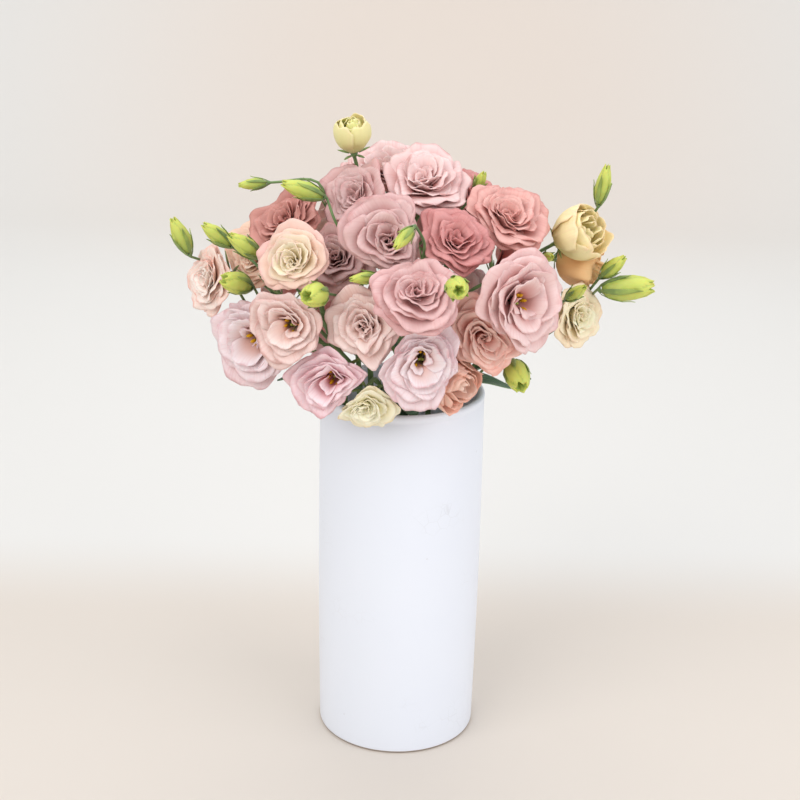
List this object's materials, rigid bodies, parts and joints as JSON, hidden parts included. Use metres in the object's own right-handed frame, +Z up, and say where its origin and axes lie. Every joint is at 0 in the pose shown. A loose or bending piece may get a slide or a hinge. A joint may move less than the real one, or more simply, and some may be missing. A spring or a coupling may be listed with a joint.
{
  "type": "cut lisianthus bouquet in a vase",
  "caption": "Double pink and cream lisianthus with green buds and leaves, cut and arranged as an open dome in a tall plain white cylindrical vase of water.",
  "frame": {"origin": "centre of the vase's foot, on the surface that it stands on", "axes": "+Z up along the vase; the front of the arrangement faces -Y"},
  "size_m": [0.3674, 0.2645, 0.506],
  "materials": {
    "glazed_ceramic": "white satin glaze",
    "water": "clear",
    "leaf_green": "matt waxy leaf and stem skin",
    "bud_green": "satin, lime green",
    "petal_pink": "matt petal, pink to mauve",
    "petal_peach": "matt petal, peach",
    "petal_cream": "matt petal, cream to greenish yellow"
  },
  "bodies": {
    "root": {"vase": "glazed_ceramic", "water": "water", "stem_front": "leaf_green", "stem_front_right": "leaf_green", "stem_front_left": "leaf_green", "stem_left": "leaf_green", "stem_right": "leaf_green", "stem_top": "leaf_green", "stem_back_left": "leaf_green", "stem_back_right": "leaf_green", "bloom_front_high": "petal_pink", "bloom_front_left": "petal_pink", "bloom_front_low": "petal_pink", "bloom_over_rim": "petal_cream", "bloom_centre": "petal_pink", "bud_front_round": "bud_green", "bud_between": "bud_green", "bud_nodding": "bud_green", "bloom_right_face": "petal_pink", "bloom_right_low": "petal_pink", "bloom_right_rim": "petal_peach", "bloom_right_deep": "petal_pink", "bud_right_low": "bud_green", "bloom_left_rim": "petal_pink", "bloom_left_face": "petal_pink", "bloom_cream": "petal_cream", "bloom_behind_cream": "petal_pink", "bud_left_round": "bud_green", "bloom_left_open": "petal_pink", "bloom_left_edge": "petal_peach", "bloom_left_peach": "petal_peach", "bloom_left_high": "petal_pink", "bud_left_tip": "bud_green", "bud_left_upper": "bud_green", "bud_left_inner": "bud_green", "bud_left_plump": "bud_green", "bloom_edge_cream": "petal_cream", "bloom_edge_yellow": "petal_cream", "bloom_edge_peach": "petal_peach", "bloom_right_high": "petal_pink", "bud_right_tall": "bud_green", "bud_right_upper": "bud_green", "bud_right_large": "bud_green", "bud_right_inner": "bud_green", "bud_right_small": "bud_green", "bloom_top": "petal_pink", "bloom_top_back": "petal_pink", "bloom_top_left": "petal_pink", "bloom_top_right": "petal_pink", "bloom_greenish": "petal_cream", "bud_arched_small": "bud_green", "bud_arched_large": "bud_green", "bud_top_right": "bud_green", "bloom_back_left": "petal_pink", "bloom_back_upper_left": "petal_pink", "bloom_back_far_left": "petal_pink", "bloom_back": "petal_pink", "bloom_back_right": "petal_pink", "bloom_back_upper_right": "petal_pink", "bloom_back_far_right": "petal_pink"}
  },
  "joints": []
}
